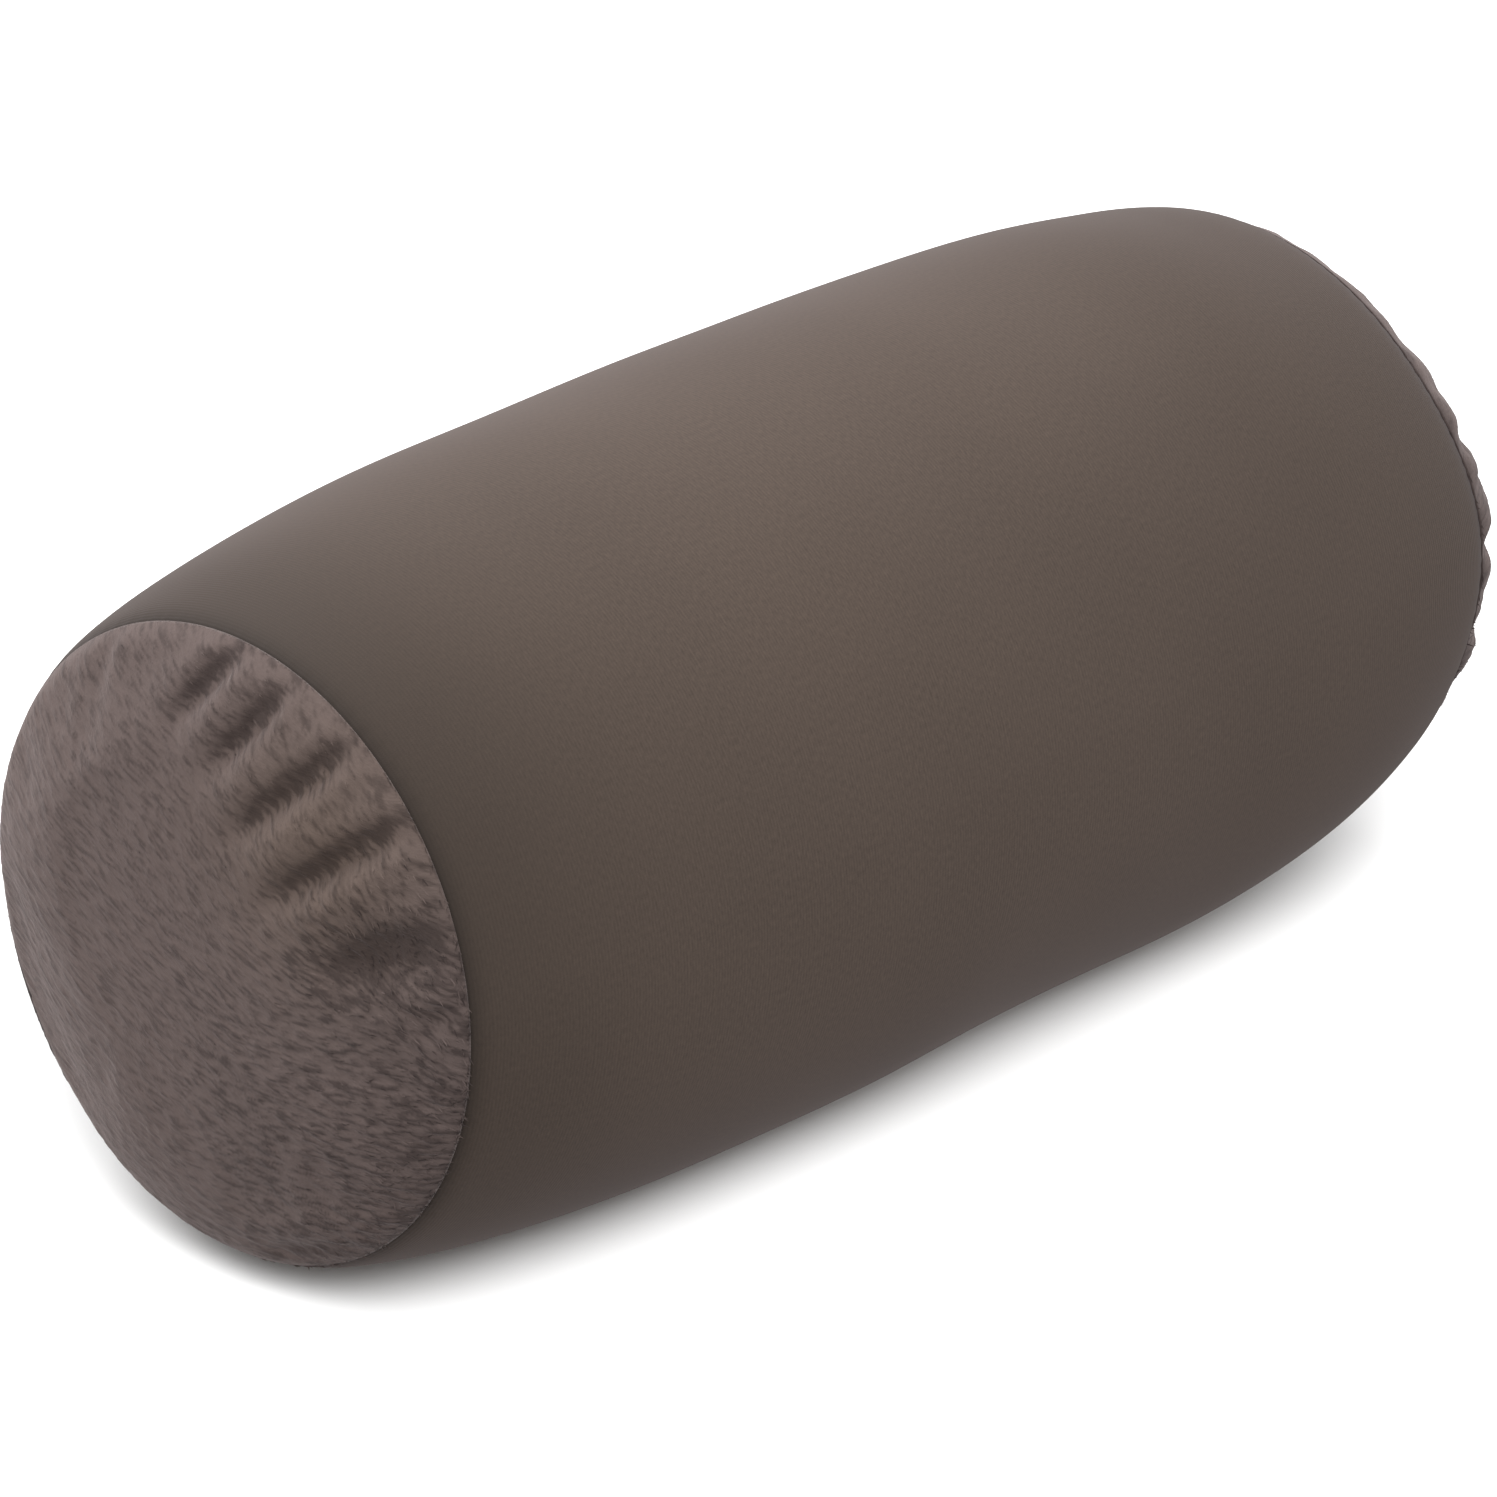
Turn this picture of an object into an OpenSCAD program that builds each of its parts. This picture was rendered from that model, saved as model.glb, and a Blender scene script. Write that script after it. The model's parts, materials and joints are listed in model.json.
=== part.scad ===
// Bolster pillow: a stretch-knit tube closed by two plush end panels, sewn over a thin
// liner bag that holds loose microbead filling.
// Frame: +X runs along the roll, +Z is up, and the origin lies under the middle of the
// roll, on the surface that it rests on.

/* [Roll] */
// Diameter at the middle of the roll
mid_d = 165; // [158:1:190]
// Diameter at the two end seams
seam_d = 140; // [120:1:144]
// Distance between the two end seams
seam_span = 320; // [260:5:420]
// How square the roll's shoulders are: higher keeps the middle straight for longer
crown_power = 4; // [3:1:6]
// How far each end panel bulges past its seam
dome_h = 20; // [14:1:30]
// How square the end panels' edges are
dome_power = 4; // [2:1:5]
// How deep the filling lets the resting side press flat
rest_depth = 5; // [2:0.5:6]

/* [Cover] */
// Thickness of the stretch knit
knit_t = 0.8; // [0.5:0.1:1.2]
// Thickness of the plush end panels, pile included
plush_t = 3; // [2:0.5:4]
// Thickness of the plush where the seam crushes its pile
plush_seam_t = 1; // [0.6:0.1:1.6]
// Width of the cover's seam allowances
cover_allowance = 8; // [5:1:12]
// Direction of the lengthwise seam, turned from straight up towards the back
lengthwise_angle = 130; // [110:5:140]
// Length of the filling opening in the lengthwise seams, closed by hand
opening_len = 90; // [60:5:120]

/* [Liner] */
// Thickness of the liner fabric
liner_t = 0.4; // [0.2:0.1:0.6]
// Width of the liner's seam allowances
liner_allowance = 6; // [4:1:10]
// How much lower the liner's ends bulge than the cover's, which leaves room for gathers
liner_end_slack = 9; // [6:0.5:9]

/* [Thread] */
// Diameter of the sewing thread
thread_d = 0.4; // [0.3:0.05:0.5]
// Distance from one stitch to the next
stitch_pitch = 4; // [3:0.5:6]
// Length of thread that shows in each stitch
stitch_len = 2.8; // [2:0.2:2.8]

/* [Hidden] */

knit_colour = [0.40, 0.35, 0.32];
plush_colour = [0.45, 0.39, 0.37];
cover_thread_colour = [0.30, 0.26, 0.24];
liner_colour = [0.82, 0.81, 0.78];
liner_thread_colour = [0.93, 0.92, 0.90];
bead_colour = [0.96, 0.96, 0.95];

mid_r = mid_d / 2;
seam_r = seam_d / 2;
half_span = seam_span / 2;
axis_z = mid_r - rest_depth;

// Every layer follows the outer surface at an inset measured towards the roll's axis.
// At an end seam the tube's fabric folds back on itself, the end panel's fabric lies
// inside that fold, and the stitches run on the innermost ply.
thread_room = thread_d + 0.1;
layer_gap = 0.2;
cover_fold_inset = knit_t + thread_room;
cover_ply_inset = cover_fold_inset + knit_t;
cover_inner_inset = cover_ply_inset + plush_seam_t;
liner_inset = cover_inner_inset + thread_room + layer_gap;
liner_fold_inset = liner_inset + liner_t + thread_room;
liner_ply_inset = liner_fold_inset + liner_t;
liner_inner_inset = liner_ply_inset + liner_t;
fill_inset = liner_inner_inset + thread_room + layer_gap;

stitch_line = 1.8;       // distance of an end seam's stitches from the seam's fold
flap_overlap = 0.3;      // how far a lengthwise allowance is sunk into its panel
flap_end_gap = 2;        // clear distance from a lengthwise allowance to the end seam's
crown_steps = 48;
dome_steps = 16;
fold_steps = 2;
round_faces = 96;
thread_faces = 16;
far = 400;

// Radius of the layer at an inset, at a place along the roll
function crown_r(x, inset) =
    mid_r - inset - (mid_r - seam_r) * pow(abs(x) / half_span, crown_power);

// Angle of the roll's side against its axis
function crown_slope(x) =
    atan((mid_r - seam_r) * crown_power * pow(abs(x) / half_span, crown_power - 1)
         / half_span) * sign(x);

// Outline points are [radius, place along the roll].
function crown_line(inset, from, to, steps) =
    [for (i = [0 : steps])
        let (x = from + (to - from) * i / steps)
        [crown_r(x, inset), x]];

// The right-hand dome from its rim to its tip
function dome_line(rim_inset, tip_inset) =
    [for (i = [0 : dome_steps])
        let (part = 1 - i / dome_steps)
        [(seam_r - rim_inset) * part,
         half_span + (dome_h - tip_inset) * (1 - pow(part, dome_power))]];

function reversed(points) = [for (i = [len(points) - 1 : -1 : 0]) points[i]];
function flipped(points) = [for (p = points) [p[0], -p[1]]];

// The middle of the roll at an inset, with flat ends
function middle_outline(inset, end) =
    concat([[0, -end]], crown_line(inset, -end, end, crown_steps), [[0, end]]);

// The right-hand end of a tube panel, folded in and back along the panel
function fold_outline(outer, ply_t, fold, allowance) =
    let (fold_end = half_span - allowance,
         fold_wall = half_span - ply_t)
    concat(
        crown_line(outer + ply_t / 2, fold_wall, half_span, fold_steps),
        crown_line(fold + ply_t, half_span, fold_end, fold_steps),
        crown_line(fold, fold_end, fold_wall, fold_steps));

// A right-hand end panel, whose allowance lies inside the tube's fold
function end_outline(outer, slack, tip_t, ply, inner, allowance) =
    concat(
        dome_line(outer, outer + slack),
        reversed(dome_line(inner, outer + slack + tip_t)),
        crown_line(inner, half_span, half_span - allowance, fold_steps),
        crown_line(ply, half_span - allowance, half_span, fold_steps));

// The whole roll at an inset, from tip to tip
function roll_outline(inset, slack) =
    let (right = dome_line(inset, inset + slack))
    concat(
        flipped(reversed(right)),
        crown_line(inset, -half_span, half_span, crown_steps),
        right);

module on_axis() {
    translate([0, 0, axis_z]) children();
}

// The half turn puts the revolved surface's own start line on top, clear of the flat
module revolved(points) {
    on_axis() rotate([0, 90, 0]) rotate([0, 0, 180])
        rotate_extrude($fn = round_faces) polygon(points);
}

// Keeps what lies above a level
module above(level) {
    intersection() {
        children();
        translate([-far, -far, level]) cube([2 * far, 2 * far, far]);
    }
}

// A tube panel with its resting side pressed flat and both of its ends folded in
module pressed_tube(outer, ply_t, fold, allowance) {
    difference() {
        above(outer) revolved(middle_outline(outer, half_span));
        above(outer + ply_t) revolved(middle_outline(outer + ply_t, half_span + ply_t));
    }
    fold_points = fold_outline(outer, ply_t, fold, allowance);
    revolved(fold_points);
    revolved(flipped(fold_points));
}

// Turns its children from the top of the roll to the lengthwise seam
module at_lengthwise_seam() {
    on_axis() rotate([-lengthwise_angle, 0, 0]) children();
}

// The two plies of a lengthwise allowance, lying flat against the inside of the panel
module lengthwise_flap(panel_inner, ply_t, allowance) {
    flap_half = half_span - allowance - flap_end_gap;
    intersection() {
        revolved(concat(
            crown_line(panel_inner - flap_overlap, -flap_half, flap_half, crown_steps),
            crown_line(panel_inner + 2 * ply_t, flap_half, -flap_half, crown_steps)));
        at_lengthwise_seam()
            translate([-far, 0, 0]) cube([2 * far, allowance, mid_r]);
    }
}

module stitch() {
    cylinder(d = thread_d, h = stitch_len, center = true, $fn = thread_faces);
}

// Stitches that run round an end seam, each lying along the seam
module ring_of_stitches(x, radius) {
    count = floor(2 * PI * radius / stitch_pitch);
    on_axis()
        for (i = [0 : count - 1])
            rotate([i * 360 / count, 0, 0])
                translate([x, 0, radius])
                    rotate([90, 0, 0]) stitch();
}

// An unbroken thread laid in a fold
module ring_of_thread(x, radius) {
    on_axis() rotate([0, 90, 0])
        rotate_extrude($fn = round_faces)
            translate([radius, x]) circle(d = thread_d, $fn = thread_faces);
}

// Stitches along a lengthwise seam, on both sides of the filling opening
module lengthwise_stitches(inset, allowance) {
    last = half_span - allowance - flap_end_gap - stitch_pitch;
    at_lengthwise_seam()
        for (side = [-1, 1])
            for (x = [opening_len / 2 + stitch_pitch : stitch_pitch : last])
                translate([side * x, stitch_line, crown_r(x, inset + thread_d / 2)])
                    rotate([0, 90 + crown_slope(side * x), 0]) stitch();
}

// Hand stitches laid across the closed filling opening
module closing_stitches(inset) {
    at_lengthwise_seam()
        for (x = [-opening_len / 2 : stitch_pitch : opening_len / 2])
            translate([x, stitch_line, crown_r(x, inset + thread_d / 2)])
                rotate([90, 0, 0]) stitch();
}

module cover_body_panel() {
    color(knit_colour) {
        pressed_tube(0, knit_t, cover_fold_inset, cover_allowance);
        lengthwise_flap(knit_t, knit_t, cover_allowance);
    }
}

module right_end_panel() {
    color(plush_colour)
        revolved(end_outline(0, 0, plush_t, cover_ply_inset, cover_inner_inset,
                             cover_allowance));
}

module left_end_panel() {
    mirror([1, 0, 0]) right_end_panel();
}

// The needle thread's stitches, and the bobbin thread inside the tube's fold
module right_end_seam_thread() {
    x = half_span - stitch_line;
    color(cover_thread_colour) {
        ring_of_stitches(x, crown_r(x, cover_inner_inset + thread_room / 2));
        ring_of_thread(x, crown_r(x, knit_t + thread_room / 2));
    }
}

module left_end_seam_thread() {
    mirror([1, 0, 0]) right_end_seam_thread();
}

module cover_lengthwise_seam_thread() {
    color(cover_thread_colour)
        lengthwise_stitches(3 * knit_t + layer_gap / 2, cover_allowance);
}

module cover_closing_stitch() {
    color(cover_thread_colour) closing_stitches(3 * knit_t + layer_gap / 2);
}

module liner_body_panel() {
    color(liner_colour) {
        pressed_tube(liner_inset, liner_t, liner_fold_inset, liner_allowance);
        lengthwise_flap(liner_inset + liner_t, liner_t, liner_allowance);
    }
}

module right_liner_end() {
    color(liner_colour)
        revolved(end_outline(liner_inset, liner_end_slack, liner_t, liner_ply_inset,
                             liner_inner_inset, liner_allowance));
}

module left_liner_end() {
    mirror([1, 0, 0]) right_liner_end();
}

module right_liner_seam_thread() {
    x = half_span - stitch_line;
    color(liner_thread_colour) {
        ring_of_thread(x, crown_r(x, liner_inner_inset + thread_room / 2));
        ring_of_thread(x, crown_r(x, liner_inset + liner_t + thread_room / 2));
    }
}

module left_liner_seam_thread() {
    mirror([1, 0, 0]) right_liner_seam_thread();
}

module liner_lengthwise_seam_thread() {
    color(liner_thread_colour)
        lengthwise_stitches(liner_inset + 3 * liner_t + layer_gap / 2, liner_allowance);
}

module liner_closing_stitch() {
    color(liner_thread_colour)
        closing_stitches(liner_inset + 3 * liner_t + layer_gap / 2);
}

// The loose microbeads as the one lump that they settle into
module bead_fill() {
    color(bead_colour)
        above(fill_inset) revolved(roll_outline(fill_inset, liner_end_slack));
}

cover_body_panel();
left_end_panel();
right_end_panel();
left_end_seam_thread();
right_end_seam_thread();
cover_lengthwise_seam_thread();
cover_closing_stitch();
liner_body_panel();
left_liner_end();
right_liner_end();
left_liner_seam_thread();
right_liner_seam_thread();
liner_lengthwise_seam_thread();
liner_closing_stitch();
bead_fill();
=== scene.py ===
import json
import math

import bpy
import numpy as np
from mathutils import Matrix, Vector

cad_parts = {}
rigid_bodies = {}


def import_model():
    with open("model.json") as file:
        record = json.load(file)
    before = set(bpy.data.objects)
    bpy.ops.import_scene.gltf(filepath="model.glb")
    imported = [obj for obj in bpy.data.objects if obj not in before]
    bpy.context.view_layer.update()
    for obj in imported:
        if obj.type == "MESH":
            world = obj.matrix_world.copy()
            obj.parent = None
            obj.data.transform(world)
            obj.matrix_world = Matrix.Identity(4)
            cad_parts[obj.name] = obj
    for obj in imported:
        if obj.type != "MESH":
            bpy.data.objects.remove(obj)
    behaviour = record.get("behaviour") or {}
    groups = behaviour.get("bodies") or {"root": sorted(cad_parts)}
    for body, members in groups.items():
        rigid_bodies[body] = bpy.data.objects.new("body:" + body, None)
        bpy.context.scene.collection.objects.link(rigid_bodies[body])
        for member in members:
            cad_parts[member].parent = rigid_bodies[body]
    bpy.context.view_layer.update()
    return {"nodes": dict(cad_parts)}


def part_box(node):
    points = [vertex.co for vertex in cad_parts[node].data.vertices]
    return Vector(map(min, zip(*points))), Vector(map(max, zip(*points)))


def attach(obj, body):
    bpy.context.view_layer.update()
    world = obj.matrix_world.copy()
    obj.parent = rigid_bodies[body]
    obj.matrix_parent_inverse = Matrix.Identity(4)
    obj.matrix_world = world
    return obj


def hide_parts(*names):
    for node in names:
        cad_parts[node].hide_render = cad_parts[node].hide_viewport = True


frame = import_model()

bl_info = {
    "name": "Bolster Pillow",
    "version": (1, 0, 0),
    "blender": (4, 5, 0),
    "location": "View3D > Sidebar > Bolster",
    "description": "Builds a stretch-knit bolster pillow with gathered plush end panels",
    "category": "Add Mesh",
}

MM = 0.001
TUBE_LOW, TUBE_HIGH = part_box("cover_body_panel")
MID_RADIUS = (TUBE_HIGH.y - TUBE_LOW.y) / 2
HALF_SPAN = (TUBE_HIGH.x - TUBE_LOW.x) / 2
AXIS_Z = TUBE_HIGH.z - MID_RADIUS
LINER_LOW, LINER_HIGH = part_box("right_liner_end")

# Directions on an end panel are (front, up): front is towards -Y and up is +Z.
# Gathers on the left panel: where each starts at the rim, where it runs out, its half
# width and its depth, all in millimetres from the roll's axis.
LEFT_GATHERS = [
    (5.6, 67.6, -7.6, 51.0, 2.0, 3.9),
    (18.6, 61.6, 4.8, 44.1, 2.1, 3.6),
    (35.8, 54.4, 14.2, 33.5, 2.2, 4.4),
    (51.9, 43.4, 24.6, 21.8, 2.3, 5.0),
    (63.2, 21.6, 40.6, 11.4, 4.0, 4.8),
    (67.5, 9.0, 61.0, 3.0, 2.0, 2.4),
    (-31.5, 62.0, -33.5, 46.0, 2.2, 0.7),
    (20.0, -61.5, 47.0, -53.5, 2.4, 1.8),
    (-60.0, 32.0, -50.0, 27.0, 3.0, 0.3),
]

# The way the plush has been stroked: places on the panel in millimetres, and the
# direction that the pile lies there.
NAP_POINTS = [
    (-10, 58, 0.92, -0.40), (-45, 35, 0.88, -0.47), (0, 20, 0.84, -0.54),
    (30, 40, 0.76, -0.65), (50, 30, 0.72, -0.70), (64, 5, 0.62, -0.78),
    (-34, 7, 0.90, -0.44), (-49, -15, 0.90, -0.44), (-27, -32, 0.97, -0.25),
    (24, -10, 0.99, -0.07), (46, -4, 0.97, 0.20), (38, -17, 0.99, 0.12),
    (53, -30, 0.99, 0.09), (10, -49, 1.00, 0.01), (-20, -52, 0.99, -0.15),
    (0, -15, 0.95, -0.31), (10, 5, 0.88, -0.47),
]

# Darker patches of the pile, painted shade: place, reach and how much darker.
SHADED_PATCHES = [
    (14, -22, 12, 0.20), (19, -42, 7, 0.24), (42, 9, 9, 0.46), (52, 14, 9, 0.52),
    (61, 18, 6, 0.36), (63, -16, 9, 0.30), (50, -46, 12, 0.14), (28, -30, 9, 0.10),
    (6, -2, 9, 0.08), (60, -40, 9, 0.22),
]

# Painted light: the plush is tinted a little warmer over the gathers, where their lit ridges
# look warmer; its tufts have a rosy sheen.
WARM_TINT = (1.01, 0.985, 0.89)
PLUSH_SHEEN = (1.0, 0.88, 0.87, 1.0)

# Slacker (-) and fuller (+) places of the left (-1) and right (1) panels: place, reach
# and height.
PANEL_SWELLS = {
    -1: [(-56, -30, 28, -2.3), (10, -20, 30, 0.4), (-20, 35, 20, 0.3)],
    1: [(20, 60, 24, -0.7), (62, -24, 12, 0.7)],
}

# The camera: its direction and distance from the roll's axis, its lens and its shift.
CAMERA_AZIMUTH = math.radians(-46.9)
CAMERA_ELEVATION = math.radians(24.1)
CAMERA_DISTANCE = 2.0625
CAMERA_LENS = 229
CAMERA_SHIFT = (-0.0087, -0.0228)

# The white tent: its light from the sides, how much more comes from overhead than from
# there, and how high the white band at the horizon reaches.
TENT_LIGHT = 0.675
TENT_RISE = 0.455
TENT_BAND = 0.12

# Lamps: strength, then spread, elevation and azimuth in degrees, and whether the lamp
# lights the floor alone.
LAMPS = {
    "softbox_behind": (1.12, 50, 55, 104, False),
    "floor_wash": (4.4, 30, 42, 230, True),
}

LEFT_SEAM_RATIO = 0.848
RIGHT_SEAM_RATIO = 0.836

# Combed noise on a panel: its seed, step, reach along the nap and rounds of blur. It fills
# a square that is twice NOISE_REACH wide. All in millimetres.
CLUMP_NOISE = (21, 0.4, 2.0, 3)
STRAND_NOISE = (22, 0.25, 1.6, 1)
NOISE_REACH = 76

# Fixes the places of the right panel's small gathers.
GATHER_SEED = 5

# Steps round the knit body, its rows close to each seam, between them and inside, and
# steps across the grid of an end panel.
KNIT_STEPS = 300
KNIT_ROWS = (34, 168, 18)
PANEL_STEPS = 72

# How far the plush stays off the liner's ends, in front and on its back.
FRONT_MARGIN = 0.9 * MM
BACK_MARGIN = 0.3 * MM

# The cloth simulation: how far it may move a point, its frames, the part of the radius
# from which the plush is sewn fast, the part up to which it moves freely, and the rounds
# that even its movement out.
CLOTH_LIMIT = 1.5 * MM
CLOTH_FRAMES = 20
SEWN_FROM = 0.975
FREE_TO = 0.86
CLOTH_ROUNDS = 5


def clamp01(value):
    return np.clip(value, 0.0, 1.0)


def smooth_step(low, high, value):
    t = clamp01((value - low) / (high - low))
    return t * t * (3 - 2 * t)


def bell(offset, width, power=2):
    """1 where the offset is nothing, falling off smoothly over the width."""
    return np.exp(-(offset / width) ** power)


def spot(front, up, a, b, spread):
    """1 at the place (a, b), falling off round it; the spread is its reach squared."""
    return np.exp(-((front - a) ** 2 + (up - b) ** 2) / spread)


def pressed(z):
    """Heights above the floor, with the underside settled flat on it."""
    give = 0.9 * MM
    return (z + np.sqrt(z * z + 4 * give * give)) / 2


def settled(points, sizes):
    """Points of the plump roll after it has sunk under its own weight: the ends lean, the
    right one rides a little high, and the underside lies flat."""
    x, front, up = points[:, 0], -points[:, 1], points[:, 2] - AXIS_Z
    part = clamp01(np.abs(x) / sizes.half_span) ** 5
    left = sizes.left_lean * (up - 0.25 * np.maximum(front, 0)) / sizes.mid_radius
    # the right end stands out most just above its front, and is drawn in higher up
    turn = np.degrees(np.arctan2(up, front)) - 8
    reach = clamp01(np.hypot(up, front) / (30 * MM))
    high = smooth_step(-90, -20, turn)
    right = sizes.right_lean * reach * (bell(turn, 26) - 0.29 * high)
    shifted = x + part * np.where(x < 0, left, right)
    lifted = points[:, 2] + sizes.right_lift * part * (x > 0)
    return np.stack([shifted, points[:, 1], pressed(lifted)], axis=1)


# ---------------------------------------------------------------- sizes and colours


def length_property(name, description, default, **limits):
    return bpy.props.FloatProperty(
        name=name, description=description, default=default, unit="LENGTH",
        subtype="DISTANCE", **limits)


def ratio_property(name, description, default):
    return bpy.props.FloatProperty(
        name=name, description=description, default=default, min=0.7, max=1.0,
        subtype="FACTOR")


def square_property(name, description, default):
    return bpy.props.FloatProperty(
        name=name, description=description, default=default, min=2.0, max=6.0)


def colour_property(name, description, default):
    return bpy.props.FloatVectorProperty(
        name=name, description=description, default=default, size=3,
        min=0.0, max=1.0, subtype="COLOR")


class RollSizes(bpy.types.PropertyGroup):
    """Sizes of the whole roll"""

    mid_radius: length_property(
        "Middle radius", "Radius of the roll at its middle", MID_RADIUS, min=0.05)
    half_span: length_property(
        "Half span", "From the middle of the roll to an end seam", HALF_SPAN, min=0.1)
    left_seam_ratio: ratio_property(
        "Left seam", "Left seam radius as a part of the middle radius", LEFT_SEAM_RATIO)
    right_seam_ratio: ratio_property(
        "Right seam", "Right seam radius as a part of the middle radius", RIGHT_SEAM_RATIO)
    left_lean: length_property(
        "Left lean", "How far the left end's foot stands out", 1.6 * MM)
    right_lean: length_property(
        "Right lean", "How far the right end's front stands out", 4.8 * MM)
    right_lift: length_property(
        "Right lift", "How far the right end rides above the axis", 1.3 * MM)
    crease_depth: length_property(
        "Crease depth", "How far the knit pulls in at an end seam", 1.3 * MM)
    crease_width: length_property(
        "Crease width", "How far from the seam the knit starts to pull in", 2.4 * MM)
    knit_thickness: length_property(
        "Knit thickness", "Thickness of the stretch knit", 0.8 * MM)
    lengthwise_angle: bpy.props.FloatProperty(
        name="Lengthwise seam", description="Turn from the top of the roll to the back",
        default=math.radians(130), unit="ROTATION", subtype="ANGLE")


class PlushSizes(bpy.types.PropertyGroup):
    """Sizes of the plush end panels"""

    left_dome: length_property(
        "Left dome", "How far the left panel bulges past its seam", 15.0 * MM)
    right_dome: length_property(
        "Right dome", "How far the right panel bulges past its seam", 23.5 * MM)
    left_square: square_property(
        "Left squareness", "How square the left panel's edge is", 3.5)
    right_square: square_property(
        "Right squareness", "How square the right panel's edge is", 4.5)
    pile_length: length_property("Pile length", "Length of one tuft of the pile", 1.8 * MM)
    pile_width: length_property("Pile width", "Width of one tuft at its root", 0.34 * MM)
    pile_density: bpy.props.FloatProperty(
        name="Pile density", description="Tufts on a square metre of the panel",
        default=3.6e6, min=0.0)
    pile_seed: bpy.props.IntProperty(
        name="Pile seed", description="Number that fixes the tufts' places", default=11)


class StitchSizes(bpy.types.PropertyGroup):
    """Sizes of the stitches in the end seams"""

    pitch: length_property("Pitch", "Distance from one stitch to the next", 4 * MM)
    length: length_property(
        "Length", "Length of thread that shows in each stitch", 2.8 * MM)
    thickness: length_property("Thickness", "Thickness of the thread", 0.55 * MM)


class FabricColours(bpy.types.PropertyGroup):
    """Colours of the fabrics, threads and filling"""

    knit: colour_property("Knit", "Stretch knit", (0.136, 0.0985, 0.0765))
    knit_shade: colour_property(
        "Knit shade", "Darker side of the knit's ribs", (0.078, 0.0563, 0.0437))
    plush: colour_property("Plush", "Tips of the plush", (0.172, 0.129, 0.119))
    plush_shade: colour_property(
        "Plush shade", "Roots and gaps of the plush", (0.046, 0.033, 0.031))
    thread: colour_property("Thread", "Thread of the cover", (0.024, 0.019, 0.017))
    liner: colour_property("Liner", "Liner bag", (0.62, 0.60, 0.55))
    liner_thread: colour_property("Liner thread", "Thread of the liner", (0.8, 0.78, 0.74))
    beads: colour_property("Beads", "Microbead filling", (0.88, 0.88, 0.86))


# ---------------------------------------------------------------- node helpers


def feed(tree, socket, value):
    """Links a socket to another node's output, or sets the socket's own value."""
    if hasattr(value, "is_linked"):
        tree.links.new(value, socket)
    else:
        socket.default_value = value


def fill_in(tree, node, **inputs):
    """Feeds a node's inputs by name, with _ for each space."""
    for label, value in inputs.items():
        feed(tree, node.inputs[label.replace("_", " ")], value)
    return node


def add_node(tree, kind, **inputs):
    return fill_in(tree, tree.nodes.new(kind), **inputs)


def new_material(name):
    material = bpy.data.materials.new(name)
    material.use_nodes = True
    tree = material.node_tree
    tree.nodes.clear()
    shader = tree.nodes.new("ShaderNodeBsdfPrincipled")
    add_node(tree, "ShaderNodeOutputMaterial", Surface=shader.outputs["BSDF"])
    return material, tree, shader


def math_node(tree, operation, a, b=None, c=None, clamp=False):
    node = tree.nodes.new("ShaderNodeMath")
    node.operation = operation
    node.use_clamp = clamp
    for socket, value in zip(node.inputs, (a, b, c)):
        if value is not None:
            feed(tree, socket, value)
    return node.outputs[0]


def times_plus(tree, value, factor, more, clamp=False):
    return math_node(tree, "MULTIPLY_ADD", value, factor, more, clamp)


def mix_colours(tree, factor, first, second, blend="MIX"):
    node = tree.nodes.new("ShaderNodeMix")
    node.data_type = "RGBA"
    node.blend_type = blend
    sockets = {socket.identifier: socket for socket in node.inputs}
    feed(tree, sockets["Factor_Float"], factor)
    for name, colour in (("A_Color", first), ("B_Color", second)):
        linked = hasattr(colour, "is_linked")
        feed(tree, sockets[name], colour if linked else (*colour, 1.0))
    return next(s for s in node.outputs if s.identifier == "Result_Color")


def shaded(colour, factor):
    return tuple(factor * v for v in colour)


def uv_node(tree, name):
    node = tree.nodes.new("ShaderNodeUVMap")
    node.uv_map = name
    return node.outputs["UV"]


def object_coordinates(tree):
    return tree.nodes.new("ShaderNodeTexCoord").outputs["Object"]


def split(tree, vector):
    return add_node(tree, "ShaderNodeSeparateXYZ", Vector=vector).outputs


def noise(tree, vector, scale, detail=2.0, roughness=0.5):
    return add_node(tree, "ShaderNodeTexNoise", Vector=vector, Scale=scale,
                    Detail=detail, Roughness=roughness).outputs["Fac"]


def streaks(tree, uv, across, along, detail=2.0, roughness=0.5):
    """Noise with its own number of spots to the metre each way of the UV map."""
    place = add_node(tree, "ShaderNodeMapping", Vector=uv, Scale=(across, along, 1))
    return noise(tree, place.outputs["Vector"], 1.0, detail, roughness)


def attribute(tree, name):
    node = tree.nodes.new("ShaderNodeAttribute")
    node.attribute_name = name
    return node.outputs["Fac"]


def bump(tree, shader, height, strength, distance):
    node = add_node(tree, "ShaderNodeBump", Strength=strength, Distance=distance,
                    Height=height)
    fill_in(tree, shader, Normal=node.outputs["Normal"])


# ---------------------------------------------------------------- materials


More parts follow.
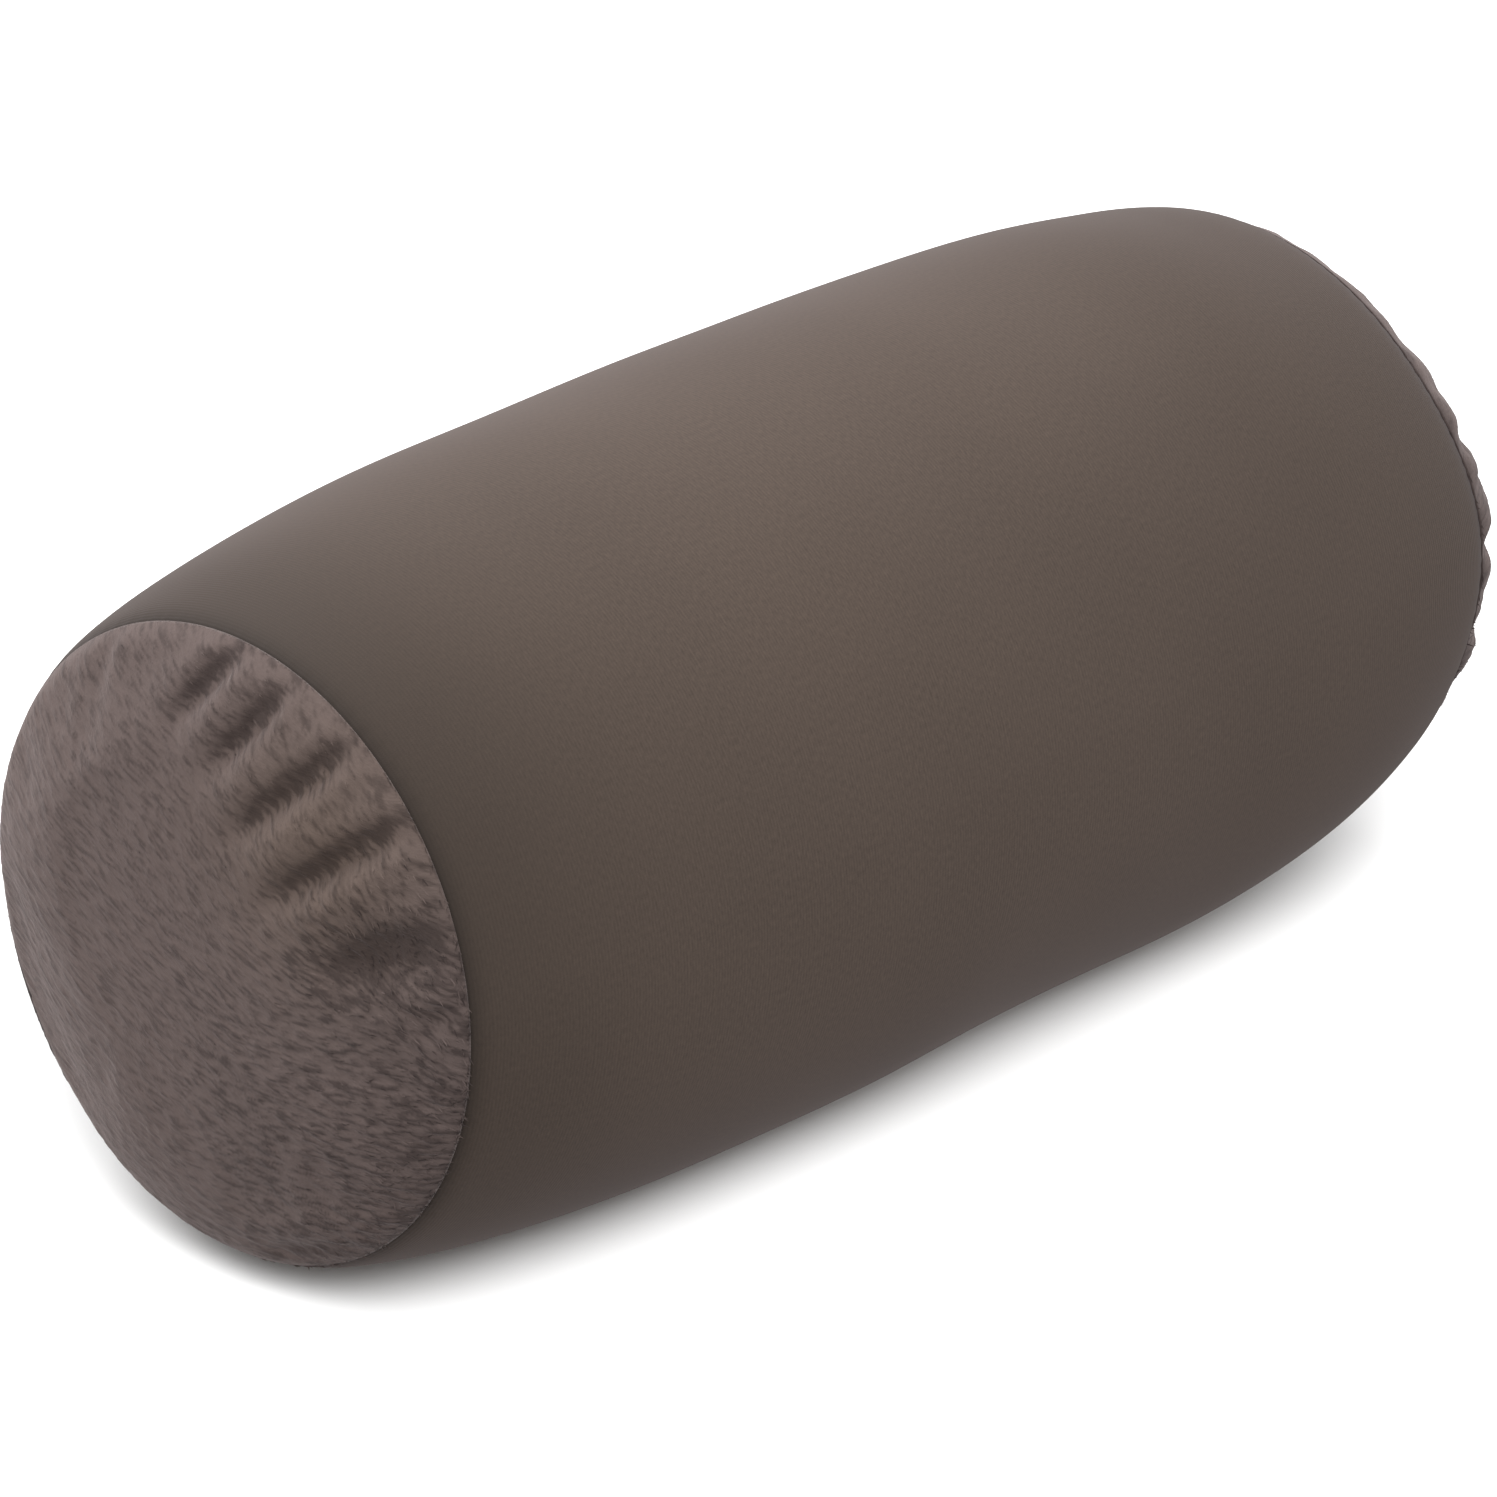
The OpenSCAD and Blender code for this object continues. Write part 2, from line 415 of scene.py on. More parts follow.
def knit_material(colours):
    """Fine ribs that run round the roll, on a satin yarn."""
    material, tree, shader = new_material("stretch_knit_taupe")
    # the UV map is in metres, so one rib is 0.8 mm and one loop 0.6 mm
    rib, loop = 0.8 * MM, 0.6 * MM
    uv = uv_node(tree, "fabric")
    along, around, _ = split(tree, uv)
    wobble = streaks(tree, uv, 60, 60)
    ribs = math_node(tree, "SINE", times_plus(tree, along, 2 * math.pi / rib,
                                              math_node(tree, "MULTIPLY", wobble, 5.0)))
    loops = math_node(tree, "SINE", times_plus(tree, around, 2 * math.pi / loop,
                                               math_node(tree, "MULTIPLY", ribs, 0.9)))
    weave = times_plus(tree, times_plus(tree, loops, 0.35, ribs), 0.37, 0.5, clamp=True)
    slub = streaks(tree, uv, 1500, 700, 3.0, 0.6)
    clouds = noise(tree, object_coordinates(tree), 14.0, 3.0)
    # the ribs' share of the tone is painted shade on their darker sides; slub and clouds vary
    # the yarn's own tone
    tone = times_plus(tree, weave, 0.30, times_plus(
        tree, slub, 1.5, math_node(tree, "MULTIPLY", clouds, 0.5)))
    base = mix_colours(tree, math_node(tree, "SUBTRACT", tone, 0.65, clamp=True),
                       colours.knit_shade, colours.knit)
    # painted shade: the knit is mixed towards a darker copy of its shade colour by the end
    # seams and along the seam grooves
    for name, factor in (("slack", 0.66), ("crease_shade", 0.35)):
        base = mix_colours(tree, attribute(tree, name), base,
                           shaded(colours.knit_shade, factor))
    relief = math_node(tree, "ADD",
                       math_node(tree, "MULTIPLY", weave, attribute(tree, "rib_show")),
                       math_node(tree, "MULTIPLY", slub, 0.5))
    bump(tree, shader, relief, 0.35, 0.12 * MM)
    fill_in(tree, shader, Base_Color=base, Roughness=times_plus(tree, slub, 0.12, 0.56),
            Specular_IOR_Level=0.24, Sheen_Weight=0.10, Sheen_Roughness=0.5,
            Sheen_Tint=(1.0, 0.84, 0.90, 1.0))
    return material


def plush_material(colours):
    """Short brushed pile, seen between and through its tufts."""
    material, tree, shader = new_material("plush_taupe")
    uv = uv_node(tree, "brushed")
    # along the nap the streaks are several times longer than they are wide
    streak = streaks(tree, uv, 420, 1900, 3.0, 0.6)
    fine = streaks(tree, uv, 1100, 4200)
    shade = times_plus(tree, streak, 0.5, times_plus(tree, fine, 0.3, -0.1))
    tone = times_plus(tree, attribute(tree, "tuft"), 0.65, shade, clamp=True)
    base = mix_colours(tree, tone, colours.plush_shade, colours.plush)
    # painted light: the warmer tint of the lit ridges
    base = mix_colours(tree, attribute(tree, "warm"), base, WARM_TINT, "MULTIPLY")
    bump(tree, shader, math_node(tree, "ADD", streak, fine), 0.5, 0.25 * MM)
    fill_in(tree, shader, Base_Color=base, Roughness=times_plus(tree, fine, 0.15, 0.72),
            Specular_IOR_Level=0.2, Sheen_Weight=0.35, Sheen_Roughness=0.4,
            Sheen_Tint=PLUSH_SHEEN)
    return material


def pile_material(colours):
    """Tufts of the pile, each a little different, with painted shade towards the root."""
    material, tree, shader = new_material("plush_pile_taupe")
    lift = times_plus(tree, attribute(tree, "tone"), 0.85,
                      times_plus(tree, attribute(tree, "tuft"), 1.15, -0.76))
    lift = times_plus(tree, attribute(tree, "rise"), 0.40, lift, clamp=True)
    base = mix_colours(tree, lift, shaded(colours.plush_shade, 1.15),
                       shaded(colours.plush, 1.06))
    # painted light: the warmer tint of the lit ridges
    base = mix_colours(tree, attribute(tree, "warm"), base, WARM_TINT, "MULTIPLY")
    fill_in(tree, shader, Base_Color=base, Roughness=0.7, Specular_IOR_Level=0.22,
            Sheen_Weight=0.3, Sheen_Roughness=0.4, Sheen_Tint=PLUSH_SHEEN)
    return material


def thread_material(name, colour):
    """Twisted sewing thread, one turn to half a millimetre."""
    material, tree, shader = new_material(name)
    x, y, z = split(tree, object_coordinates(tree))
    slant = math_node(tree, "ADD", x, math_node(tree, "ADD", y, z))
    twist = math_node(tree, "SINE", math_node(tree, "MULTIPLY", slant,
                                              2 * math.pi / 0.0005))
    twist = times_plus(tree, twist, 0.5, 0.5)
    bump(tree, shader, twist, 0.5, 0.1 * MM)
    fill_in(tree, shader, Roughness=0.6,
            Base_Color=mix_colours(tree, twist, shaded(colour, 0.7), colour))
    return material


def liner_material(colours):
    """Thin plain weave of the liner bag."""
    material, tree, shader = new_material("liner_plain_weave")
    place = object_coordinates(tree)
    weave = add_node(tree, "ShaderNodeTexChecker", Vector=place, Scale=2500.0)
    bump(tree, shader, noise(tree, place, 900.0), 0.3, 0.1 * MM)
    fill_in(tree, shader, Roughness=0.85,
            Base_Color=mix_colours(tree, weave.outputs["Fac"],
                                   shaded(colours.liner, 0.88), colours.liner))
    return material


def bead_material(colours):
    """Foam microbeads packed together."""
    material, tree, shader = new_material("foam_microbeads")
    cells = add_node(tree, "ShaderNodeTexVoronoi", Vector=object_coordinates(tree),
                     Scale=900.0)
    dome = math_node(tree, "SUBTRACT", 1.0, cells.outputs["Distance"], clamp=True)
    bump(tree, shader, dome, 0.8, 0.5 * MM)
    fill_in(tree, shader, Roughness=0.7,
            Base_Color=mix_colours(tree, dome, shaded(colours.beads, 0.75), colours.beads))
    return material


# ---------------------------------------------------------------- mesh helpers


def mesh_object(name, points, faces, material=None):
    mesh = bpy.data.meshes.new(name)
    mesh.from_pydata([tuple(p) for p in points], [], [tuple(f) for f in faces])
    mesh.polygons.foreach_set("use_smooth", [True] * len(mesh.polygons))
    if material:
        mesh.materials.append(material)
    mesh.update()
    piece = bpy.data.objects.new(name, mesh)
    bpy.context.collection.objects.link(piece)
    return piece


def vector_array(items, key):
    values = np.empty(len(items) * 3)
    items.foreach_get(key, values)
    return values.reshape(-1, 3)


def point_array(mesh):
    return vector_array(mesh.vertices, "co")


def normal_array(mesh):
    return vector_array(mesh.vertex_normals, "vector")


def move_points(mesh, points):
    mesh.vertices.foreach_set("co", np.ascontiguousarray(points).ravel())
    mesh.update()


def store(mesh, name, values, kind="FLOAT"):
    layer = mesh.attributes.new(name, kind, "POINT")
    key = "vector" if kind == "FLOAT_VECTOR" else "value"
    layer.data.foreach_set(key, np.ascontiguousarray(values, dtype=np.float32).ravel())


def store_uv(mesh, name, per_corner):
    layer = mesh.uv_layers.new(name=name)
    layer.data.foreach_set("uv", np.ascontiguousarray(per_corner, dtype=np.float32).ravel())


def corner_vertices(mesh):
    values = np.empty(len(mesh.loops), dtype=np.int64)
    mesh.loops.foreach_get("vertex_index", values)
    return values


def evaluated_copy(piece, name):
    """A plain mesh of what the piece's modifiers make."""
    shown = piece.evaluated_get(bpy.context.evaluated_depsgraph_get())
    mesh = bpy.data.meshes.new_from_object(shown)
    mesh.name = name
    return mesh


# ---------------------------------------------------------------- shape of the roll


def side_ratio(x, sizes):
    """Radius of the roll at x, as a part of the middle radius."""
    u = np.abs(x) / sizes.half_span
    left = 1 - (1 - sizes.left_seam_ratio) * (0.32 * u ** 2 + 0.68 * u ** 5)
    right = 1 - (1 - sizes.right_seam_ratio) * (0.33 * u ** 2 + 0.67 * u ** 6)
    return np.where(x < 0, left, right)


def seam_radius(side, sizes):
    ratio = sizes.left_seam_ratio if side < 0 else sizes.right_seam_ratio
    return ratio * sizes.mid_radius


def tube_profile(sizes):
    """Closed outline of the knit tube as rows of (x, radius, painted shade by the end seams,
    on the outside).
    """
    half = sizes.half_span
    close_rows, middle_rows, inner_rows = KNIT_ROWS
    # the rows lie closer together beside the seams, which they stop just short of
    near, short = 26 * MM, 0.35 * MM
    fine = near - near * np.linspace(0, 1, close_rows) ** 1.6
    xs = np.concatenate([short - half + fine[::-1],
                         np.linspace(near - half, half - near, middle_rows)[1:-1],
                         half - short - fine])
    # the knit pulls in at each end seam, and the same pull marks where shade is painted
    pull = bell(half - np.abs(xs), sizes.crease_width, 1.3)
    radius = side_ratio(xs, sizes) * sizes.mid_radius - sizes.crease_depth * pull
    outer = [(x, r, p, 1.0) for x, r, p in zip(xs, radius, pull)]

    def turned_in(side):
        x, r = side * (half - 0.15 * MM), seam_radius(side, sizes)
        # the turned-in knit is painted fully in shade
        return [(x, r - 2.0 * MM, 1.0, 0.0), (x, r - 3.2 * MM, 1.0, 0.0)]

    back = np.linspace(half - 1.2 * MM, 1.2 * MM - half, inner_rows)
    radius = (side_ratio(back, sizes) * sizes.mid_radius - sizes.knit_thickness
              - 1.4 * MM * bell(half - np.abs(back), 6 * MM))
    inside = [(x, r, 0.0, 0.0) for x, r in zip(back, radius)]
    return outer + turned_in(1) + inside + turned_in(-1)[::-1]


# Broad hollows (-) and swells (+) of the stuffed knit: place along the roll and turn from
# the top towards the back, reach both ways, and height, in millimetres and degrees.
KNIT_SWELLS = [
    (-118, 25, 30, 40, -0.4), (-75, 20, 25, 35, 0.2), (72, 12, 24, 45, -0.2),
    (55, -130, 45, 35, -1.8), (10, -125, 25, 30, -0.8), (-20, -60, 35, 30, 0.4),
    (80, -50, 30, 30, -0.4), (-90, -80, 30, 30, -0.3), (20, 30, 18, 30, -0.1),
    (-45, -20, 20, 25, -0.15), (110, -20, 25, 30, 0.35), (0, 130, 40, 40, 0.8),
    (-80, 110, 30, 35, -0.5), (90, 120, 30, 30, 0.4), (134, 20, 22, 40, -0.7),
    (85, -135, 30, 30, 0.9),
]


def soft_waves(x, angle):
    """Broad, faint unevenness of the stuffed knit, in metres."""
    degrees = (np.degrees(angle) + 180) % 360 - 180
    wave = 0.10 * np.sin(47 * x - 3 * angle + 2.1) + 0.08 * np.sin(83 * x + 4 * angle)
    for place, turn, reach, spread, height in KNIT_SWELLS:
        off = (degrees - turn + 180) % 360 - 180
        wave = wave + height * np.exp(-((x / MM - place) / reach) ** 2
                                      - (off / spread) ** 2)
    return wave * MM


def make_knit_body(sizes, material):
    rows, around = np.array(tube_profile(sizes)), KNIT_STEPS
    count = len(rows)
    angle = np.arange(around) * 2 * math.pi / around      # 0 is up, pi/2 is the back
    x, radius, crease_shade, outside = np.repeat(rows, around, axis=0).T
    turn = np.tile(angle, count)
    gap = sizes.half_span - np.abs(x)
    radius = radius + soft_waves(x, turn) * smooth_step(0, 30 * MM, gap)
    # the lengthwise seam is a fine groove with the knit slightly raised beside it
    off = (turn - sizes.lengthwise_angle) * sizes.mid_radius
    groove = bell(off, 0.9 * MM) - 0.35 * bell(np.abs(off) - 3 * MM, 1.8 * MM)
    radius = radius - 0.9 * MM * groove * outside
    # painted shade: the knit is darkened along the lengthwise seam's groove
    crease_shade = np.maximum(crease_shade, 0.8 * bell(off, 0.7 * MM) * outside)
    # the seam allowance inside makes tiny puckers beside each end seam
    pucker = np.sin(turn * 110 + 3 * np.sin(5 * turn)) * bell(gap, 3.5 * MM)
    radius = radius + 0.10 * MM * pucker * outside
    points = settled(np.stack([x, radius * np.sin(turn),
                               AXIS_Z + radius * np.cos(turn)], axis=1), sizes)
    points[:, 2] = np.where(outside > 0, points[:, 2],
                            np.maximum(points[:, 2], sizes.knit_thickness))
    faces = [(i * around + j, ((i + 1) % count) * around + j,
              ((i + 1) % count) * around + (j + 1) % around, i * around + (j + 1) % around)
             for i in range(count) for j in range(around)]
    piece = mesh_object("knit_body", points, faces, material)
    mesh = piece.data
    store(mesh, "crease_shade", clamp01(crease_shade))
    # painted shade: the knit is darker towards each end seam, most on its top, standing in for
    # the shade that falls there
    high = 0.5 + 0.5 * np.cos(turn)
    store(mesh, "slack", np.where(x < 0, (0.12 + 0.68 * high) * bell(gap, 42 * MM, 1.5),
                                  (0.10 + 0.34 * high) * bell(gap, 70 * MM, 1.5)))
    store(mesh, "rib_show", 0.25 + 0.75 * bell(gap, 30 * MM))
    # the faces that close the ring take its full turn for their far edge, not 0
    corners = corner_vertices(mesh)
    column = (corners % around).reshape(-1, 4)
    wrapped = (column == 0) & (column.max(axis=1, keepdims=True) == around - 1)
    column = np.where(wrapped, around, column).ravel()
    store_uv(mesh, "fabric", np.stack(
        [x[corners], column * (2 * math.pi / around) * sizes.mid_radius], axis=1))
    return piece


# ---------------------------------------------------------------- end panels


def square_to_disc(steps):
    """Grid points spread evenly over a unit disc, and the grid's faces."""
    line = np.linspace(-1, 1, steps + 1)
    u, v = np.meshgrid(line, line, indexing="ij")
    wide = np.abs(u) >= np.abs(v)
    with np.errstate(divide="ignore", invalid="ignore"):
        theta = np.where(wide, math.pi / 4 * v / np.where(u == 0, 1, u),
                         math.pi / 2 - math.pi / 4 * u / np.where(v == 0, 1, v))
    r = np.where(wide, u, v)
    disc = np.stack([(r * np.cos(theta)).ravel(), (r * np.sin(theta)).ravel()], axis=1)
    n = steps + 1
    faces = [(i * n + j, (i + 1) * n + j, (i + 1) * n + j + 1, i * n + j + 1)
             for i in range(steps) for j in range(steps)]
    return disc, faces


def gather_depth(front, up, gathers):
    """How far each gather draws the plush in at a place on the panel, in millimetres."""
    depth = np.zeros_like(front)
    for a0, b0, a1, b1, width, deep in gathers:
        run = np.array([a1 - a0, b1 - b0])
        length = float(np.hypot(*run))
        run = run / length
        along = ((front - a0) * run[0] + (up - b0) * run[1]) / length
        across = (front - a0) * run[1] - (up - b0) * run[0]
        w = width * (1 + 0.35 * clamp01(along))
        fade = smooth_step(-0.25, 0.12, along) * (1 - smooth_step(0.4, 1.25, along))
        hills = bell(np.abs(across) - 2.4 * w, 1.5 * w)
        depth += deep * fade * (bell(across, w) - 0.26 * hills)
    return depth


def room_inside(rho, height, sizes):
    """How far the plush can be drawn in before it meets the liner's end."""
    radius = rho * MID_RADIUS * LEFT_SEAM_RATIO
    rim = (LINER_HIGH.y - LINER_LOW.y) / 2
    tip = LINER_HIGH.x - sizes.half_span
    liner = np.maximum(0.0, tip * (1 - (radius / rim) ** 4))
    return np.maximum(0.3 * MM, height - liner - 1.0 * MM)


def clear_of_liner(points, side, margin):
    """The points, moved outwards where they would be less than the margin off the liner."""
    node = frame["nodes"]["left_liner_end" if side < 0 else "right_liner_end"]
    liner = point_array(node.data)
    turn = np.array(node.matrix_world)
    liner = liner @ turn[:3, :3].T + turn[:3, 3]
    step = 0.5 * MM
    reach = np.full(int(MID_RADIUS / step) + 2, -1.0)
    ring = np.round(np.hypot(liner[:, 1], liner[:, 2] - AXIS_Z) / step).astype(int)
    np.maximum.at(reach, ring, side * liner[:, 0])
    known = np.nonzero(reach > 0)[0]
    radius = np.hypot(points[:, 1], points[:, 2] - AXIS_Z) / step
    least = np.interp(radius, known, reach[known], right=0.0) + margin
    made = points.copy()
    made[:, 0] = side * np.maximum(side * points[:, 0], least)
    return made


def right_gathers(radius_mm):
    """Small gathers all round the right panel, uneven in length and depth."""
    dice = np.random.default_rng(GATHER_SEED)
    gathers = []
    angle = 4.0
    while angle < 360.0:
        turn = math.radians(angle + dice.uniform(-2.0, 2.0))
        front, up = math.cos(turn), math.sin(turn)
        # fuller towards the front and below, where the panel was eased in
        fullness = 0.5 + 0.5 * front - 0.45 * max(0.0, up)
        deep = max(0.3, 1.6 * fullness * dice.uniform(0.5, 1.3))
        reach = dice.uniform(11.0, 20.0)
        lean = dice.uniform(-0.12, 0.12)
        inner = radius_mm - reach
        gathers.append((radius_mm * front, radius_mm * up,
                        inner * math.cos(turn + lean), inner * math.sin(turn + lean),
                        dice.uniform(2.3, 3.2), deep))
        angle += dice.uniform(9.5, 14.0)
    return gathers


def nap_direction(front, up):
    """The way the pile lies at a place on the panel, as (front, up) parts."""
    total = np.zeros((len(front), 2))
    for a, b, da, db in NAP_POINTS:
        weight = 1.0 / ((front - a) ** 2 + (up - b) ** 2 + 60.0) ** 1.5
        total += weight[:, None] * np.array([da, db])
    # the pile turns round the small pucker by the rim
    da, db = front - 54.0, up - 17.0
    near = spot(front, up, 54.0, 17.0, 110.0)[:, None]
    size = np.sqrt(da * da + db * db) + 1e-6
    swirl = np.stack([-db / size, da / size], axis=1)
    total = total / np.linalg.norm(total, axis=1, keepdims=True) + 0.9 * near * swirl
    return total / np.linalg.norm(total, axis=1, keepdims=True)


def tousled(front, up):
    """How ruffled the pile is, from 0, brushed flat, to 1."""
    r = np.hypot(front, up)
    rim = (smooth_step(52, 70, r) * smooth_step(-0.2, 0.8, front / (r + 1e-6))
           * smooth_step(0.75, 0.2, up / (r + 1e-6)))
    low = smooth_step(-5, 55, front) * smooth_step(25, -25, up)
    pucker = spot(front, up, 50, 14, 170.0)
    return clamp01(0.16 + 0.45 * low + 0.5 * rim + 0.75 * pucker)


def combed_noise(seed, step, reach, blur):
    """Noise drawn out along the nap, on a grid over the panel, from -1 to 1."""
    side = int(2 * NOISE_REACH / step)
    dice = np.random.default_rng(seed)
    field = dice.standard_normal((side, side))
    for _ in range(blur):
        field = (field + np.roll(field, 1, 0) + np.roll(field, -1, 0)
                 + np.roll(field, 1, 1) + np.roll(field, -1, 1)) / 5
    line = (np.arange(side) + 0.5) * step - NOISE_REACH
    a, b = np.meshgrid(line, line, indexing="ij")
    way = nap_direction(a.ravel(), b.ravel())
    way = way.reshape(side, side, 2)
    total = np.zeros(side * side)
    for sign in (1, -1):
        pa, pb = a.ravel().copy(), b.ravel().copy()
        for _ in range(int(reach / step)):
            ia = np.clip(((pa + NOISE_REACH) / step).astype(int), 0, side - 1)
            ib = np.clip(((pb + NOISE_REACH) / step).astype(int), 0, side - 1)
            total += field[ia, ib]
            pa += sign * step * way[ia, ib, 0]
            pb += sign * step * way[ia, ib, 1]
    total = (total - total.mean()) / (2.2 * total.std())
    return np.clip(total, -1, 1).reshape(side, side), step


def sample(combed, front, up):
    """Values of combed noise at places on the panel."""
    field, step = combed
    side = field.shape[0]
    fa = np.clip((front + NOISE_REACH) / step - 0.5, 0, side - 1.001)
    fb = np.clip((up + NOISE_REACH) / step - 0.5, 0, side - 1.001)
    ia, ib = fa.astype(int), fb.astype(int)
    ta, tb = fa - ia, fb - ib
    return ((field[ia, ib] * (1 - ta) + field[ia + 1, ib] * ta) * (1 - tb)
            + (field[ia, ib + 1] * (1 - ta) + field[ia + 1, ib + 1] * ta) * tb)


def panel_height(rho, dome, square):
    return dome * (1 - np.clip(rho, 0, 1) ** square)


def settle_cloth(piece, rho):
    """Draws the gathered panel in a little by a cloth simulation, sewn fast at its rim."""
    rest = point_array(piece.data)
    group = piece.vertex_groups.new(name="sewn")
    for index in np.nonzero(rho > SEWN_FROM)[0]:
        group.add([int(index)], 1.0, "REPLACE")
    modifier = piece.modifiers.new("Cloth", "CLOTH")
    cloth = modifier.settings
    cloth.quality = 6
    cloth.mass = 0.12
    cloth.tension_stiffness = cloth.compression_stiffness = 12
    cloth.shear_stiffness = 6
    cloth.bending_stiffness = 1.2
    cloth.use_pressure = True
    cloth.uniform_pressure_force = 4.0
    cloth.effector_weights.gravity = 0.0
    cloth.vertex_group_mass = "sewn"
    modifier.collision_settings.use_collision = False
    modifier.point_cache.frame_start = 1
    modifier.point_cache.frame_end = CLOTH_FRAMES
    scene = bpy.context.scene
    for number in range(1, CLOTH_FRAMES + 1):
        scene.frame_set(number)
    shown = piece.evaluated_get(bpy.context.evaluated_depsgraph_get())
    move = point_array(shown.data) - rest
    piece.modifiers.remove(modifier)
    piece.vertex_groups.remove(group)
    size = np.linalg.norm(move, axis=1, keepdims=True)
    move *= np.minimum(1.0, CLOTH_LIMIT / np.maximum(size, 1e-9))
    # small buckles are evened out, and the rim stays where it is sewn
    rows = PANEL_STEPS + 1
    grid = move.reshape(rows, rows, 3)
    for _ in range(CLOTH_ROUNDS):
        wide = np.pad(grid, ((1, 1), (1, 1), (0, 0)), mode="edge")
        grid = (2 * grid + wide[2:, 1:-1] + wide[:-2, 1:-1] + wide[1:-1, 2:]
                + wide[1:-1, :-2]) / 6
    move = grid.reshape(-1, 3) * smooth_step(1.0, FREE_TO, rho)[:, None]
    move_points(piece.data, rest + move)
    scene.frame_set(1)


def make_end_panel(name, side, sizes, plush, gathers, material):
    radius = seam_radius(side, sizes)
    dome = plush.left_dome if side < 0 else plush.right_dome
    square = plush.left_square if side < 0 else plush.right_square
    disc, faces = square_to_disc(PANEL_STEPS)
    if side < 0:
        faces = [f[::-1] for f in faces]
    rho = np.hypot(disc[:, 0], disc[:, 1])
    front, up = disc[:, 0] * radius, disc[:, 1] * radius
    depth = gather_depth(front / MM, up / MM, gathers) * MM
    height = panel_height(rho, dome, square)
    room = room_inside(rho, height, sizes)
    depth = np.where(depth > 0, room * np.tanh(depth / room), depth)
    slope = dome * square * np.clip(rho, 0, 1) ** (square - 1) / radius
    normal_out = 1 / np.sqrt(1 + slope * slope)
    normal_rim = slope * normal_out
    unit = disc / np.maximum(rho, 1e-9)[:, None]
    # the last few millimetres roll over into the seam
    to_rim = (1 - rho) * radius
    roll_over = 0.9 * MM * bell(to_rim, 1.6 * MM)
    held = 1 - bell(to_rim, 1.9 * MM)
    swell = np.zeros_like(rho)
    for a, b, reach, rise in PANEL_SWELLS[side]:
        swell += rise * MM * spot(front / MM, up / MM, a, b, reach ** 2)
    push = (swell + 0.5 * MM) * held - depth * held - roll_over
    points = np.stack([
        side * (sizes.half_span + height + push * normal_out),
        -(front + push * normal_rim * unit[:, 0]),
        AXIS_Z + up + push * normal_rim * unit[:, 1]], axis=1)
    piece = mesh_object(name, points, faces, material)
    settle_cloth(piece, rho)
    finer = piece.modifiers.new("Subdivision", "SUBSURF")
    finer.levels = finer.render_levels = 2
    old = piece.data
    piece.data = evaluated_copy(piece, name)
    piece.modifiers.clear()
    bpy.data.meshes.remove(old)
    return piece


def rim_loop(mesh):
    """The open edge's vertices in order, turning the same way as the faces beside it."""
    corners = corner_vertices(mesh).reshape(-1, 4)
    ahead = np.roll(corners, -1, axis=1)
    pairs = np.stack([corners.ravel(), ahead.ravel()], axis=1)
    key = pairs.min(axis=1) * len(mesh.vertices) + pairs.max(axis=1)
    _, first, count = np.unique(key, return_index=True, return_counts=True)
    follow = {int(a): int(b) for a, b in pairs[first[count == 1]]}
    start = here = min(follow)
    loop = []
    while True:
        loop.append(here)
        here = follow[here]
        if here == start:
            return loop


def close_back(piece, side, sizes, dome):
    """Turns the rim in for the seam, and closes the panel with its inner face."""
    mesh = piece.data
    loop = rim_loop(mesh)
    points = point_array(mesh)
    rim = points[loop]
    liner_tip = LINER_HIGH.x - sizes.half_span
    start, many = len(points), len(loop)

    def inward(height):
        return side * (sizes.half_span + min(height, dome - 3 * MM))

    # the first two rings are the seam allowance, and the others the inner face
    rings = []
    for part, height in ((0.985, -0.6 * MM), (0.96, -0.4 * MM), (0.90, None), (0.78, None),
                         (0.60, None), (0.38, None), (0.16, None)):
        if height is None:
            height = 0.2 * MM + liner_tip * (1 - part ** 3)
        rings.append(np.stack([np.full(many, inward(height)), rim[:, 1] * part,
                               AXIS_Z + (rim[:, 2] - AXIS_Z) * part], axis=1))
    centre = np.array([[inward(liner_tip), 0, AXIS_Z]])
    faces = [tuple(f) for f in corner_vertices(mesh).reshape(-1, 4).tolist()]
    rows = [loop] + [list(range(start + k * many, start + (k + 1) * many))
                     for k in range(len(rings))]
    for near, far in zip(rows, rows[1:]):
        faces += [(near[(j + 1) % many], near[j], far[j], far[(j + 1) % many])
                  for j in range(many)]
    last = start + len(rings) * many
    faces += [(rows[-1][(j + 1) % many], rows[-1][j], last) for j in range(many)]
    made = mesh_object(piece.name + "_closed", np.concatenate([points] + rings + [centre]),
                       faces, mesh.materials[0])
    piece.data = made.data
    bpy.data.objects.remove(made)
    bpy.data.meshes.remove(mesh)
    piece.data.name = piece.name
    return start


